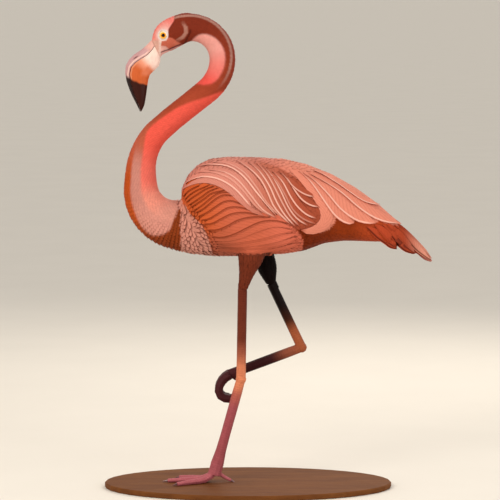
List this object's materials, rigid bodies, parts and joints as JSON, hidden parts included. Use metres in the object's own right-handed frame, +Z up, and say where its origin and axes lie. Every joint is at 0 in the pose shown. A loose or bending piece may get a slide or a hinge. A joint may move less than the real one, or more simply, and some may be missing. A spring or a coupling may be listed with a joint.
{
  "type": "flamingo standing on one leg",
  "caption": "Life-size flamingo standing on one leg with the other drawn up, its neck in an S and its bill lowered, on a plain oval display base.",
  "frame": {"origin": "middle of the flat underside of the oval display base", "axes": "+Z up through the standing leg's height, -X the way the bird faces, -Y its left side"},
  "size_m": [0.84, 0.42, 1.2146],
  "materials": {
    "plumage": "soft salmon-pink feathers, matt",
    "wing": "salmon and orange wing coverts and long shoulder feathers, matt",
    "flight": "dark red-brown flight and tail feathers, satin",
    "bill": "horn, orange with a pale base and a black tip, satin",
    "eye": "yellow iris with a black pupil, glossy",
    "leg": "scaled bare skin, satin",
    "claw": "dark horn, satin",
    "stand": "plain brown, matt"
  },
  "bodies": {
    "root": {"trunk": "plumage", "neck_nape": "plumage", "neck_crook": "plumage", "neck_turn": "plumage", "neck_slope": "plumage", "neck_middle": "plumage", "neck_low": "plumage", "neck_base": "plumage", "head": "plumage", "thigh_left": "plumage", "thigh_right": "plumage", "wing_left": "wing", "wing_right": "wing", "primaries_left": "flight", "primaries_right": "flight", "tail": "flight", "bill_upper": "bill", "bill_lower": "bill", "eye_left": "eye", "eye_right": "eye", "shank_left": "leg", "tarsus_left": "leg", "foot_left": "leg", "shank_right": "leg", "tarsus_right": "leg", "foot_right": "leg", "claw_left_1": "claw", "claw_left_2": "claw", "claw_left_3": "claw", "claw_left_hind": "claw", "claw_right_1": "claw", "claw_right_2": "claw", "claw_right_3": "claw", "claw_right_hind": "claw", "stand_base": "stand"}
  },
  "joints": []
}
